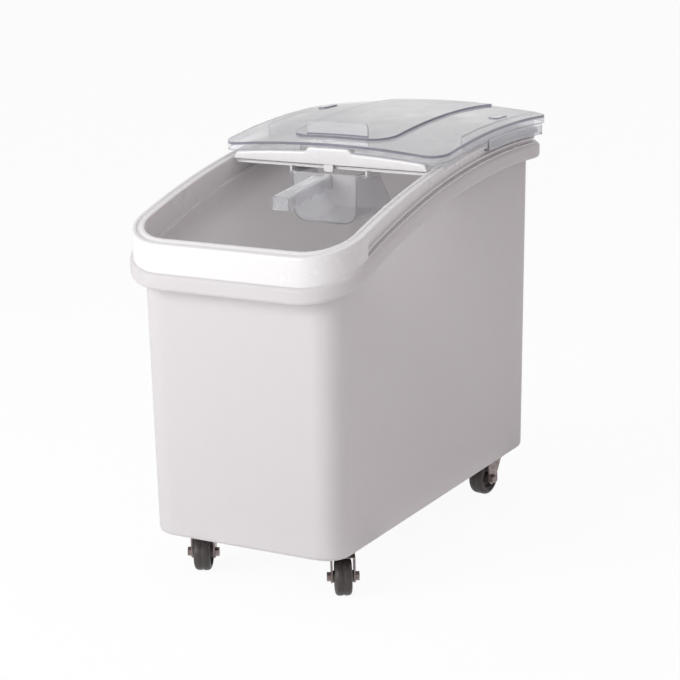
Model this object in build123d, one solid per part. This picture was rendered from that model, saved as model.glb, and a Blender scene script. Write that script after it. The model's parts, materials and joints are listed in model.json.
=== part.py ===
from build123d import *
import math
import os

# Ingredient bin: a drafted tub with a slanted front, a top frame with curved rails, a clear lid that
# slides on the rails, a clear scoop on hooks under the deck and four swivel casters.
# Frame: X across, -Y front, +Z up, origin on the floor under the middle of the rim. Millimetres.

# Tub
TUB_BOTTOM_Z = 74.0
TUB_BOTTOM_WIDTH = 330.0
TUB_BOTTOM_LENGTH = 682.0
TUB_DRAFT = 0.6
TUB_CORNER = 40.0
TUB_WALL = 4.0
TUB_FLOOR = 10.0
TUB_BASE_ROUND = 8.0
TUB_INNER_ROUND = 22.0
BASE_RIM = 9.0
BASE_RECESS = 5.0
BASE_RIB = 3.5

# Rim: a down-turned channel round the mouth, whose top follows a long arc seen from the side
RIM_WIDTH = 395.0
RIM_LENGTH = 750.0
RIM_CORNER = 84.0
RIM_HEIGHT = 25.0
RIM_WALL = 4.5
RIM_ROUND = 6.5
RIM_ARC = 1600.0
RIM_CREST_Y = 225.0
RIM_CREST_Z = 607.0

# Top frame and its rails
RAIL_ARC = 1720.0
RAIL_CREST_Y = 200.0
RAIL_CREST_Z = 632.0
FRAME_INSET = 5.0
FRAME_WALL = 4.0
FRAME_ROUND = 5.0
LIP_THICKNESS = 6.0
GROOVE_DEPTH = 11.0
GROOVE_START_Y = -286.0
RIDGE_DROP = 15.5
RIDGE_THICKNESS = 4.0
RIDGE_DEPTH = 6.5
FOOT_FLANGE = 4.0
MOUTH_WIDTH = 320.0
MOUTH_FRONT_Y = -337.0
MOUTH_REAR_Y = -62.0
MOUTH_CORNER = 46.0
MOUTH_SKIRT = 20.0
DECK_DROP = 6.0
DECK_THICKNESS = 4.0
CROSS_MEMBER = 26.0
STOP_WIDTH = 82.0
STOP_DEPTH = 12.0
STOP_HEIGHT = 4.0

# Lid: a thin crowned sheet with skirts, hooked under the rail lips
LID_RISE = 32.0
LID_SHEET = 3.0
LID_WIDTH = 392.0
LID_FRONT_Y = -58.0
LID_REAR_Y = 352.0
LID_FRONT_CORNER = 34.0
LID_REAR_CORNER = 27.0
LID_SKIRT = 13.0
LID_SKIRT_WALL = 3.0
HOOK_FRONT_Y = 114.0
HOOK_REAR_Y = 322.0
HOOK_FOOT = 4.0
LID_RUN_GAP = 0.5
LID_SIDE_GAP = 1.0
RUNNER_THICKNESS = 3.0
RUNNER_X = 174.0
RUNNER_FRONT_Y = 60.0
RUNNER_REAR_Y = 330.0
PANEL_WIDTH = 180.0
PANEL_FRONT_Y = -30.0
PANEL_CORNER = 42.0
PANEL_RISE = 3.5
GRIP_WIDTH = 96.0
GRIP_RISE = 8.0
TAB_WIDTH = 108.0
TAB_HEIGHT = 20.0
TAB_THICKNESS = 3.0
TAB_CORNER = 7.0
TAB_Y = -24.0
SNAP_LENGTH = 46.0
SNAP_WIDTH = 18.0
SNAP_RISE = 1.8
SNAP_X = 158.0
SNAP_Y = 228.0

# Scoop and the hooks that carry it
SCOOP_WIDTH = 114.0
SCOOP_HEIGHT = 78.0
SCOOP_LENGTH = 130.0
SCOOP_WALL = 2.5
SCOOP_CORNER = 24.0
SCOOP_BACK_Y = -70.0
SCOOP_RIM_Z = 600.0
SCOOP_MOUTH_SLANT = 38.0
FLANGE_WIDTH = 7.0
FLANGE_GAP = 0.3
HANDLE_LENGTH = 136.0
HANDLE_WIDTH = 30.0
HANDLE_HEIGHT = 22.0
HANDLE_SLOPE = 5.5
HANDLE_ROUND = 6.0
FINGER_COUNT = 4
FINGER_RADIUS = 15.0
FINGER_DEPTH = 5.0
HANGER_THICKNESS = 3.0
HANGER_LENGTH = 58.0
HANGER_SIDE_GAP = 1.2
HANGER_FOOT = 6.5
CENTRE_TAB_WIDTH = 16.0
CENTRE_TAB_DEPTH = 6.0

# Casters
CASTER_X = 122.0
CASTER_FRONT_Y = -252.0
CASTER_REAR_Y = 279.0
WHEEL_DIAMETER = 58.0
WHEEL_WIDTH = 27.0
TYRE_ROUND = 6.0
CORE_DIAMETER = 42.0
CORE_HUB_DIAMETER = 18.0
CORE_WEB = 6.0
AXLE_DIAMETER = 8.0
AXLE_GAP = 0.05
HUB_SIDE_GAP = 0.5
FORK_SHEET = 2.5
FORK_SIDE_GAP = 2.5
FORK_EYE = 10.0
FORK_TOP_RADIUS = 21.0
FORK_TOP_LENGTH = 30.0
TRAIL = 22.0
RACE_RADIUS = 18.0
RACE_GAP = 0.3
PLATE_WIDTH = 62.0
PLATE_LENGTH = 72.0
PLATE_THICKNESS = 2.5
PLATE_CORNER = 8.0
PAD_MARGIN = 5.0
BOLT_DIAMETER = 6.0
BOLT_PITCH_X = 44.0
BOLT_PITCH_Y = 54.0
BOLT_HEAD = 10.0
BOLT_HEAD_HEIGHT = 4.0
BOLT_LENGTH = 7.0
PIN_DIAMETER = 10.0
PIN_HEAD_DIAMETER = 15.0
PIN_HEAD_HEIGHT = 2.0
NUT_SIZE = 13.0
NUT_HEIGHT = 6.0

# Each caster: its name, side, place along the bin and how far its wheel is turned at rest
CASTERS = [
    ("front_left", -1, CASTER_FRONT_Y, 24.0),
    ("front_right", 1, CASTER_FRONT_Y, 32.0),
    ("rear_left", -1, CASTER_REAR_Y, 8.0),
    ("rear_right", 1, CASTER_REAR_Y, -8.0),
]

# Sizes worked out from the ones above
SPAN = 2 * RIM_LENGTH
TALL = RAIL_CREST_Z + LID_RISE + RAIL_ARC
RAIL_CENTRE_Z = RAIL_CREST_Z - RAIL_ARC
LID_RADIUS = RAIL_ARC + LID_RISE
RIM_CENTRE_Z = RIM_CREST_Z - RIM_ARC
FRAME_WIDTH = RIM_WIDTH - 2 * FRAME_INSET
FRAME_LENGTH = RIM_LENGTH - 2 * FRAME_INSET
FRAME_CORNER = RIM_CORNER - FRAME_INSET
GROOVE_WIDTH = FRAME_WIDTH - 2 * GROOVE_DEPTH
GROOVE_LENGTH = FRAME_LENGTH - 2 * GROOVE_DEPTH
GROOVE_CORNER = FRAME_CORNER - GROOVE_DEPTH
TUB_TOP_WIDTH = TUB_BOTTOM_WIDTH + 2 * math.tan(math.radians(TUB_DRAFT)) * (RIM_CREST_Z - TUB_BOTTOM_Z)
TUB_TOP_LENGTH = TUB_BOTTOM_LENGTH + TUB_TOP_WIDTH - TUB_BOTTOM_WIDTH


def block(width, length, corner, low=0.0, high=SPAN, y=0.0):
    """An upright block with a rounded rectangular plan, centred on x = 0."""
    return Pos(0, y, low) * extrude(RectangleRounded(width, length, corner), high - low)


def slab(width, front, rear, low=0.0, high=SPAN, x=0.0):
    """An upright block with a plain rectangular plan between two places along the bin."""
    return Pos(x, (front + rear) / 2, (low + high) / 2) * Box(width, rear - front, high - low)


def barrel(radius, crest_y, centre_z):
    """A long barrel lying across the bin, whose top is one of the long arcs."""
    return Pos(0, crest_y, centre_z) * Rot(0, 90, 0) * Cylinder(radius, SPAN)


def rail_barrel(offset):
    """The barrel under the rail arc, moved out by offset."""
    return barrel(RAIL_ARC + offset, RAIL_CREST_Y, RAIL_CENTRE_Z)


def rim_barrel(offset):
    """The barrel under the rim arc, moved out by offset."""
    return barrel(RIM_ARC + offset, RIM_CREST_Y, RIM_CENTRE_Z)


def lid_ball(offset):
    """The ball whose top is the lid's crowned surface, moved out by offset, cut to the lid's region."""
    ball = Pos(0, RAIL_CREST_Y, RAIL_CENTRE_Z) * Sphere(LID_RADIUS + offset)
    return ball & slab(RIM_WIDTH, -RIM_LENGTH / 2, RIM_LENGTH / 2, RIM_CREST_Z / 2, TALL)


def rail_height(y):
    """Height of the rail arc at one place along the bin."""
    return RAIL_CENTRE_Z + math.sqrt(RAIL_ARC**2 - (y - RAIL_CREST_Y) ** 2)


def tub_section(z, inset=0.0):
    """The tub's plan at a height, drawn in by inset."""
    grow = 2 * math.tan(math.radians(TUB_DRAFT)) * (z - TUB_BOTTOM_Z) - 2 * inset
    plan = RectangleRounded(TUB_BOTTOM_WIDTH + grow, TUB_BOTTOM_LENGTH + grow, TUB_CORNER - inset)
    return Pos(0, 0, z) * plan


def outer_edges(shape, width, length, low=0.0):
    """The edges that lie on the outside of a rounded rectangular plan."""
    found = []
    for edge in shape.edges():
        middle = edge.position_at(0.5)
        on_side = abs(abs(middle.X) - width / 2) < 0.01 or abs(abs(middle.Y) - length / 2) < 0.01
        in_corner = abs(middle.X) > width / 2 - RIM_CORNER and abs(middle.Y) > length / 2 - RIM_CORNER
        if (on_side or in_corner) and middle.Z > low:
            found.append(edge)
    return found


def bin_body():
    """The tub with its rolled rim, base recess, caster pads and ribs."""
    top = RIM_CREST_Z + RIM_HEIGHT
    floor_z = TUB_BOTTOM_Z + TUB_FLOOR
    outside = loft([tub_section(TUB_BOTTOM_Z), tub_section(top)])
    outside = fillet(outside.edges().group_by(Axis.Z)[0], TUB_BASE_ROUND)
    inside = loft([tub_section(floor_z, TUB_WALL), tub_section(top, TUB_WALL)])
    inside = fillet(inside.edges().group_by(Axis.Z)[0], TUB_INNER_ROUND)

    collar = block(RIM_WIDTH, RIM_LENGTH, RIM_CORNER) & rim_barrel(0)
    collar -= rim_barrel(-RIM_HEIGHT)
    collar = fillet(outer_edges(collar, RIM_WIDTH, RIM_LENGTH), RIM_ROUND)
    channel = block(RIM_WIDTH - 2 * RIM_WALL, RIM_LENGTH - 2 * RIM_WALL, RIM_CORNER - RIM_WALL)
    collar -= channel & rim_barrel(-RIM_WALL)

    body = (outside & rim_barrel(0)) + collar - inside

    recess_width = TUB_BOTTOM_WIDTH - 2 * (TUB_BASE_ROUND + BASE_RIM)
    recess_length = TUB_BOTTOM_LENGTH - 2 * (TUB_BASE_ROUND + BASE_RIM)
    recess_top = TUB_BOTTOM_Z + BASE_RECESS
    recess = block(recess_width, recess_length, TUB_CORNER - TUB_BASE_ROUND - BASE_RIM, 0, recess_top)
    for name, side, y, turn in CASTERS:
        pad = block(PLATE_WIDTH + 2 * PAD_MARGIN, PLATE_LENGTH + 2 * PAD_MARGIN, PLATE_CORNER, 0, recess_top)
        recess -= Pos(side * CASTER_X, y, 0) * pad
    for x in (-CASTER_X, 0, CASTER_X):
        recess -= slab(BASE_RIB, -recess_length / 2, recess_length / 2, 0, recess_top, x)
    for y in (CASTER_FRONT_Y, 0, CASTER_REAR_Y):
        recess -= slab(recess_width, y - BASE_RIB / 2, y + BASE_RIB / 2, 0, recess_top)
    body -= recess
    for x, y in bolt_places():
        hole = Cylinder(BOLT_DIAMETER / 2, 2 * BOLT_LENGTH)
        body -= Pos(x, y, TUB_BOTTOM_Z) * hole
    return body


def bolt_places():
    """The places of the caster bolts, seen from above."""
    places = []
    for name, side, y, turn in CASTERS:
        for dx in (-BOLT_PITCH_X / 2, BOLT_PITCH_X / 2):
            for dy in (-BOLT_PITCH_Y / 2, BOLT_PITCH_Y / 2):
                places.append((side * CASTER_X + dx, y + dy))
    return places


def top_frame():
    """The frame on the rim: fascia, grooved rails, mouth skirt, deck, stop and scoop hangers."""
    full = block(FRAME_WIDTH, FRAME_LENGTH, FRAME_CORNER)
    core = block(GROOVE_WIDTH, GROOVE_LENGTH, GROOVE_CORNER)
    ridge_plan = block(FRAME_WIDTH - 2 * RIDGE_DEPTH, FRAME_LENGTH - 2 * RIDGE_DEPTH, FRAME_CORNER - RIDGE_DEPTH)
    behind = slab(RIM_WIDTH, GROOVE_START_Y, RIM_LENGTH / 2)

    solid = full & rail_barrel(0)
    solid = fillet(top_outline(solid), FRAME_ROUND)
    groove = (block(RIM_WIDTH, RIM_LENGTH, RIM_CORNER) - core) & behind
    groove = (groove & rail_barrel(-LIP_THICKNESS)) - rim_barrel(FOOT_FLANGE)
    groove -= ridge_plan & (rail_barrel(-RIDGE_DROP) - rail_barrel(-RIDGE_DROP - RIDGE_THICKNESS))
    solid -= groove

    hollow = block(GROOVE_WIDTH - 2 * FRAME_WALL, GROOVE_LENGTH - 2 * FRAME_WALL, GROOVE_CORNER - FRAME_WALL)
    front_hollow = block(FRAME_WIDTH - 2 * FRAME_WALL, FRAME_LENGTH - 2 * FRAME_WALL, FRAME_CORNER - FRAME_WALL)
    front_hollow &= slab(RIM_WIDTH, -RIM_LENGTH / 2, GROOVE_START_Y - FRAME_WALL)
    solid -= (hollow + front_hollow) & rail_barrel(-LIP_THICKNESS)
    solid -= rim_barrel(0)

    mouth_length = MOUTH_REAR_Y - MOUTH_FRONT_Y
    mouth_y = (MOUTH_REAR_Y + MOUTH_FRONT_Y) / 2
    mouth = block(MOUTH_WIDTH, mouth_length, MOUTH_CORNER, 0, SPAN, mouth_y)
    skirt_wide = MOUTH_WIDTH + 2 * FRAME_WALL
    skirt_long = mouth_length + 2 * FRAME_WALL
    skirt = block(skirt_wide, skirt_long, MOUTH_CORNER + FRAME_WALL, 0, SPAN, mouth_y)
    skirt = (skirt & rail_barrel(-FRAME_WALL)) - rail_barrel(-MOUTH_SKIRT)
    notch_half = SCOOP_WIDTH / 2 + FLANGE_WIDTH + HANGER_SIDE_GAP + HANGER_THICKNESS
    notch = slab(2 * notch_half, MOUTH_REAR_Y - MOUTH_SKIRT, MOUTH_REAR_Y + MOUTH_SKIRT)
    skirt -= notch & rail_barrel(-DECK_DROP - DECK_THICKNESS)
    solid = solid + skirt - mouth

    deck_front = MOUTH_REAR_Y + CROSS_MEMBER
    deck_rear = GROOVE_LENGTH / 2 - FRAME_WALL - DECK_DROP
    deck_width = MOUTH_WIDTH
    sunk = block(deck_width, deck_rear - deck_front, FRAME_CORNER / 2, 0, SPAN, (deck_rear + deck_front) / 2)
    solid -= sunk & (rail_barrel(LIP_THICKNESS) - rail_barrel(-LIP_THICKNESS))
    plate = block(deck_width + 2 * FRAME_WALL, deck_rear - deck_front + 2 * FRAME_WALL, FRAME_CORNER / 2, 0, SPAN,
                  (deck_rear + deck_front) / 2)
    solid += plate & (rail_barrel(-DECK_DROP) - rail_barrel(-DECK_DROP - DECK_THICKNESS))

    stop_y = MOUTH_REAR_Y + CROSS_MEMBER / 2
    stop = Pos(0, stop_y, 0) * extrude(SlotOverall(STOP_WIDTH, STOP_DEPTH), SPAN)
    solid += stop & (rail_barrel(STOP_HEIGHT) - rail_barrel(-FRAME_WALL))
    return solid + hangers()


def top_outline(shape):
    """The upper edges of the frame on its outside."""
    found = []
    for edge in outer_edges(shape, FRAME_WIDTH, FRAME_LENGTH):
        middle = edge.position_at(0.5)
        if abs(middle.Z - rail_height(middle.Y)) < 0.5:
            found.append(edge)
    return found


def hangers():
    """Two J rails and a centre tab under the cross-member, which carry the scoop."""
    front = MOUTH_REAR_Y
    rear = front + HANGER_LENGTH
    web_x = SCOOP_WIDTH / 2 + FLANGE_WIDTH + HANGER_SIDE_GAP
    foot_top = SCOOP_RIM_Z - SCOOP_WALL - FLANGE_GAP
    foot_low = foot_top - HANGER_THICKNESS
    inner = SCOOP_WIDTH / 2 + HANGER_SIDE_GAP
    outer = web_x + HANGER_THICKNESS
    shape = None
    for side in (-1, 1):
        web = slab(HANGER_THICKNESS, front, rear, foot_low, SPAN, side * (web_x + outer) / 2)
        foot = slab(outer - inner, front, rear, foot_low, foot_top, side * (inner + outer) / 2)
        rail = (web & rail_barrel(-DECK_DROP - DECK_THICKNESS / 2)) + foot
        shape = rail if shape is None else shape + rail
    tab_low = SCOOP_RIM_Z + FLANGE_GAP
    tab = slab(CENTRE_TAB_WIDTH, front, front + CENTRE_TAB_DEPTH, tab_low, SPAN)
    return shape + (tab & rail_barrel(-FRAME_WALL))


def lid_plan(inset=0.0):
    """The lid's plan, drawn in by inset, with its rear corners tighter than the front ones."""
    half = LID_WIDTH / 2 - inset
    front = LID_FRONT_Y + inset
    rear = LID_REAR_Y - inset
    outline = Pos(0, (front + rear) / 2) * Rectangle(2 * half, rear - front)
    corners = outline.vertices().group_by(Axis.Y)
    outline = fillet(corners[-1], LID_REAR_CORNER - inset)
    outline = fillet(outline.vertices().group_by(Axis.Y)[0], LID_FRONT_CORNER - inset)
    return extrude(outline, SPAN)


def panel_plan(inset=0.0):
    """The raised middle panel's plan, open to the lid's rear edge."""
    width = PANEL_WIDTH - 2 * inset
    front = PANEL_FRONT_Y + inset
    rear = LID_REAR_Y + PANEL_CORNER
    return block(width, rear - front, PANEL_CORNER - inset, 0, SPAN, (front + rear) / 2)


def sliding_lid():
    """The clear lid: crowned sheet, raised panel, skirts, rail hooks, runners, pull tab and stops."""
    outer = lid_plan()
    inner = lid_plan(LID_SKIRT_WALL)
    top = lid_ball(0) + (panel_plan() & lid_ball(PANEL_RISE))
    under = lid_ball(-LID_SHEET) + (panel_plan(LID_SHEET) & lid_ball(PANEL_RISE - LID_SHEET))
    sheet = outer & (top - under)
    skirt = (outer - inner) & (lid_ball(-LID_SHEET / 2) - lid_ball(-LID_SKIRT))

    grip = Pos(0, LID_FRONT_Y, 0) * extrude(SlotOverall(GRIP_WIDTH, 2 * LID_FRONT_CORNER), SPAN)
    skirt -= grip & lid_ball(-LID_SKIRT + GRIP_RISE)

    foot_top = -LIP_THICKNESS - LID_RUN_GAP
    hook_zone = slab(RIM_WIDTH, HOOK_FRONT_Y, HOOK_REAR_Y)
    deep = (lid_ball(-LID_SHEET / 2) - rail_barrel(foot_top - HOOK_FOOT)) & hook_zone
    lip_half = FRAME_WIDTH / 2
    foot_inner = lip_half - GROOVE_DEPTH / 2
    side_wall = LID_WIDTH / 2 - lip_half - LID_SIDE_GAP
    lid = sheet + skirt
    for side in (-1, 1):
        wall_x = side * (LID_WIDTH / 2 - side_wall / 2)
        lid += slab(side_wall, HOOK_FRONT_Y, HOOK_REAR_Y, 0, SPAN, wall_x) & deep
        foot_x = side * (foot_inner + LID_WIDTH / 2) / 2
        foot = slab(LID_WIDTH / 2 - foot_inner, HOOK_FRONT_Y, HOOK_REAR_Y, 0, SPAN, foot_x)
        lid += foot & (rail_barrel(foot_top) - rail_barrel(foot_top - HOOK_FOOT))
        runner = slab(RUNNER_THICKNESS, RUNNER_FRONT_Y, RUNNER_REAR_Y, 0, SPAN, side * RUNNER_X)
        lid += runner & (lid_ball(-LID_SHEET / 2) - rail_barrel(LID_RUN_GAP))
        snap = Pos(side * SNAP_X, SNAP_Y, 0) * extrude(Rot(0, 0, 90) * SlotOverall(SNAP_LENGTH, SNAP_WIDTH), SPAN)
        lid += snap & (lid_ball(SNAP_RISE) - lid_ball(-LID_SHEET / 2))

    base_z = RAIL_CENTRE_Z + LID_RADIUS + PANEL_RISE - LID_SHEET
    base_z -= (RAIL_CREST_Y - TAB_Y) ** 2 / (2 * LID_RADIUS)
    height = TAB_HEIGHT + LID_SHEET
    flap = RectangleRounded(TAB_WIDTH, 2 * height, TAB_CORNER)
    flap = Pos(0, TAB_Y, base_z) * Rot(90, 0, 0) * extrude(flap, TAB_THICKNESS / 2, both=True)
    lid += flap - lid_ball(PANEL_RISE - LID_SHEET / 2)
    return lid


def scoop():
    """The clear scoop: an open trough with side flanges and a hollow finger handle."""
    low = SCOOP_RIM_Z - SCOOP_HEIGHT
    front = SCOOP_BACK_Y

    def trough(width, height, corner, length, start):
        """A trough-shaped block along the bin, round at its lower corners."""
        profile = Rectangle(width, 2 * height)
        profile = fillet(profile.vertices().group_by(Axis.Y)[0], corner)
        profile &= Pos(0, -height / 2) * Rectangle(width, height)
        return Pos(0, start, SCOOP_RIM_Z) * Rot(90, 0, 0) * extrude(profile, -length)

    shell = trough(SCOOP_WIDTH, SCOOP_HEIGHT, SCOOP_CORNER, SCOOP_LENGTH, front)
    cavity = trough(SCOOP_WIDTH - 2 * SCOOP_WALL, SCOOP_HEIGHT - SCOOP_WALL, SCOOP_CORNER - SCOOP_WALL,
                    SCOOP_LENGTH, front + SCOOP_WALL)
    flange = slab(SCOOP_WIDTH + 2 * FLANGE_WIDTH, front, front + SCOOP_LENGTH,
                  SCOOP_RIM_Z - SCOOP_WALL, SCOOP_RIM_Z)
    shape = shell + flange - cavity

    cut = Pos(0, front + SCOOP_LENGTH, low) * Rot(SCOOP_MOUTH_SLANT, 0, 0)
    cutter = Pos(0, SCOOP_LENGTH / 2, 0) * Box(2 * SCOOP_WIDTH, SCOOP_LENGTH, 4 * SCOOP_HEIGHT)
    shape -= cut * cutter

    bar = RectangleRounded(HANDLE_WIDTH, 2 * HANDLE_HEIGHT, HANDLE_ROUND)
    bar &= Pos(0, HANDLE_HEIGHT / 2) * Rectangle(HANDLE_WIDTH, HANDLE_HEIGHT)
    bore = RectangleRounded(HANDLE_WIDTH - 2 * SCOOP_WALL, 2 * (HANDLE_HEIGHT - SCOOP_WALL),
                            HANDLE_ROUND - SCOOP_WALL)
    handle = Rot(90, 0, 0) * extrude(bar, HANDLE_LENGTH)
    hollow = Rot(90, 0, 0) * extrude(bore, HANDLE_LENGTH - SCOOP_WALL)
    handle -= hollow
    pitch = (HANDLE_LENGTH - FINGER_RADIUS) / FINGER_COUNT
    for index in range(FINGER_COUNT):
        finger_y = -FINGER_RADIUS - (index + 0.25) * pitch
        finger = Pos(0, finger_y, FINGER_DEPTH - FINGER_RADIUS) * Rot(0, 90, 0)
        handle -= finger * Cylinder(FINGER_RADIUS, 2 * HANDLE_WIDTH)
    tilt = Rot(HANDLE_SLOPE, 0, 0)
    handle = Pos(0, front + SCOOP_WALL, SCOOP_RIM_Z - HANDLE_HEIGHT) * tilt * handle
    handle -= cavity
    return shape + handle


def caster(side, y, turn):
    """The sub-parts of one caster, by name."""
    top = TUB_BOTTOM_Z
    axle_z = WHEEL_DIAMETER / 2
    plate_low = top - PLATE_THICKNESS
    fork_top = axle_z + WHEEL_DIAMETER / 2 + FORK_SIDE_GAP + FORK_SHEET
    inside_width = WHEEL_WIDTH + 2 * FORK_SIDE_GAP
    outside_width = inside_width + 2 * FORK_SHEET
    at = Pos(side * CASTER_X, y, 0)
    turned = at * Rot(0, 0, turn)
    across = Rot(0, 90, 0)

    plate = block(PLATE_WIDTH, PLATE_LENGTH, PLATE_CORNER, plate_low, top)
    for dx in (-BOLT_PITCH_X / 2, BOLT_PITCH_X / 2):
        for dy in (-BOLT_PITCH_Y / 2, BOLT_PITCH_Y / 2):
            plate -= Pos(dx, dy, top) * Cylinder(BOLT_DIAMETER / 2, 4 * PLATE_THICKNESS)
    cup_high = plate_low
    cup_low = fork_top + RACE_GAP
    cup = Pos(0, 0, (cup_high + cup_low) / 2) * Cylinder(RACE_RADIUS, cup_high - cup_low)
    cup = chamfer(cup.edges().group_by(Axis.Z)[0], (cup_high - cup_low) / 3)
    plate += cup
    pin_low = fork_top - FORK_SHEET
    pin = Pos(0, 0, (pin_low + cup_low) / 2) * Cylinder(PIN_DIAMETER / 2, cup_low - pin_low)
    pin_head = Cylinder(PIN_HEAD_DIAMETER / 2, PIN_HEAD_HEIGHT)
    pin_head = Pos(0, 0, pin_low - PIN_HEAD_HEIGHT / 2 - RACE_GAP) * pin_head
    pin = pin + Pos(0, 0, pin_low - RACE_GAP / 2) * Cylinder(PIN_DIAMETER / 2, RACE_GAP) + pin_head

    leg = Sketch() + Pos(-TRAIL, axle_z) * Circle(FORK_EYE)
    leg_top = Pos(-TRAIL / 2 - FORK_EYE / 4, fork_top - FORK_SHEET) * Rectangle(TRAIL + FORK_TOP_LENGTH / 2, FORK_SHEET)
    leg_shape = make_hull((leg + leg_top).edges())
    fork = extrude(Plane.YZ * leg_shape, outside_width / 2, both=True)
    fork = fork & slab(outside_width, -SPAN, SPAN, 0, fork_top)
    clear = slab(inside_width, -SPAN, SPAN, 0, fork_top - FORK_SHEET)
    round_top = Pos(0, 0, fork_top - FORK_SHEET / 2) * Cylinder(FORK_TOP_RADIUS, FORK_SHEET)
    fork = fork - clear + round_top
    fork -= Pos(0, 0, fork_top) * Cylinder(PIN_DIAMETER / 2 + AXLE_GAP, 4 * FORK_SHEET)
    fork -= Pos(0, -TRAIL, axle_z) * across * Cylinder(AXLE_DIAMETER / 2, 2 * outside_width)

    at_axle = Pos(0, -TRAIL, axle_z) * across
    tyre = Cylinder(WHEEL_DIAMETER / 2, WHEEL_WIDTH)
    tyre = fillet(tyre.edges().filter_by(GeomType.CIRCLE), TYRE_ROUND) - Cylinder(CORE_DIAMETER / 2, WHEEL_WIDTH)
    core = Cylinder(CORE_DIAMETER / 2, WHEEL_WIDTH - 2 * TYRE_ROUND / 2)
    web_cut = Cylinder(CORE_DIAMETER / 2 - 3, WHEEL_WIDTH) - Cylinder(CORE_HUB_DIAMETER / 2, WHEEL_WIDTH)
    web_cut -= Cylinder(CORE_DIAMETER / 2, CORE_WEB)
    core -= web_cut
    core += Cylinder(CORE_HUB_DIAMETER / 2, inside_width - 2 * HUB_SIDE_GAP)
    core -= Cylinder(AXLE_DIAMETER / 2 + AXLE_GAP, 2 * WHEEL_WIDTH)

    shank_length = outside_width + 2 * NUT_HEIGHT
    shank = Cylinder(AXLE_DIAMETER / 2, outside_width + NUT_HEIGHT)
    shank = Pos(0, 0, NUT_HEIGHT / 2) * shank
    head = extrude(RegularPolygon(NUT_SIZE / 2, 6, major_radius=False), NUT_HEIGHT)
    head = Pos(0, 0, -outside_width / 2 - NUT_HEIGHT) * head
    nut = extrude(RegularPolygon(NUT_SIZE / 2, 6, major_radius=False), NUT_HEIGHT)
    nut = Pos(0, 0, outside_width / 2) * nut - Cylinder(AXLE_DIAMETER / 2, 2 * shank_length)
    return {
        "mount_plate": at * plate,
        "king_pin": at * pin,
        "fork": turned * fork,
        "axle_bolt": turned * at_axle * (shank + head),
        "axle_nut": turned * at_axle * nut,
        "tyre": turned * at_axle * tyre,
        "wheel_core": turned * at_axle * core,
    }


def plate_bolts():
    """All the bolts that hold the caster plates, as one group."""
    bolts = []
    for x, y in bolt_places():
        head = extrude(RegularPolygon(BOLT_HEAD / 2, 6, major_radius=False), BOLT_HEAD_HEIGHT)
        head = Pos(0, 0, -PLATE_THICKNESS - BOLT_HEAD_HEIGHT) * head
        length = BOLT_LENGTH + PLATE_THICKNESS
        shank = Pos(0, 0, length / 2 - PLATE_THICKNESS) * Cylinder(BOLT_DIAMETER / 2, length)
        bolts.append(Pos(x, y, TUB_BOTTOM_Z) * (head + shank))
    return Compound(children=bolts)


def main():
    """Builds every sub-part and writes one file for each."""
    os.makedirs("parts", exist_ok=True)
    shapes = {
        "bin_body": bin_body(),
        "top_frame": top_frame(),
        "sliding_lid": sliding_lid(),
        "scoop": scoop(),
        "plate_bolts": plate_bolts(),
    }
    for name, side, y, turn in CASTERS:
        for piece, shape in caster(side, y, turn).items():
            shapes[piece + "_" + name] = shape
    for name, shape in shapes.items():
        export_step(shape, "parts/" + name + ".step")


main()
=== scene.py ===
"""Finishes, light and camera for the ingredient bin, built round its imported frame."""

import json
import logging
import math
from dataclasses import dataclass
from enum import Enum
from typing import Any, Iterable, Mapping, Optional, Sequence, Union

import bmesh
import bpy
from mathutils import Matrix, Vector


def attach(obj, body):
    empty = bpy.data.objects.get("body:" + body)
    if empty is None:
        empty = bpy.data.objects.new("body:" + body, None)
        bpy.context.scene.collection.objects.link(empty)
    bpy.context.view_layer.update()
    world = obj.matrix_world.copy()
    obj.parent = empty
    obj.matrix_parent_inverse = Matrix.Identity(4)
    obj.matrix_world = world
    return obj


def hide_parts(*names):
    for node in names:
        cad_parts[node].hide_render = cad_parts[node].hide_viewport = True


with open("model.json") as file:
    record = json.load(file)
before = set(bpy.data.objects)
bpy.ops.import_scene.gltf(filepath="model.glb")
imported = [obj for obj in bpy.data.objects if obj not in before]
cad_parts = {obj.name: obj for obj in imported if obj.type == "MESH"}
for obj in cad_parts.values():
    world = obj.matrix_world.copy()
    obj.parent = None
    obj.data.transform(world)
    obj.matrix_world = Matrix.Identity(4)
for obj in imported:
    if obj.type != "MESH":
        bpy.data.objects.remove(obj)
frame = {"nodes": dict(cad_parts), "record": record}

LOG = logging.getLogger("ingredient_bin")
TINY = 1e-6
NO_TURN = 0.01

Colour = tuple[float, float, float]
Point = tuple[float, float, float]
# A profile's corner, as two coordinates and a radius
Corner = tuple[float, float, float]
# A place on the rim, the direction in from it, and whether the rail groove runs there
Station = tuple[Vector, Vector, bool]
Number = Union[int, float]
Inputs = Mapping[Union[str, int], Any]


class Axis(Enum):
    """The components of a coordinate that the finishes and the light use."""

    X = 0
    Z = 2


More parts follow.
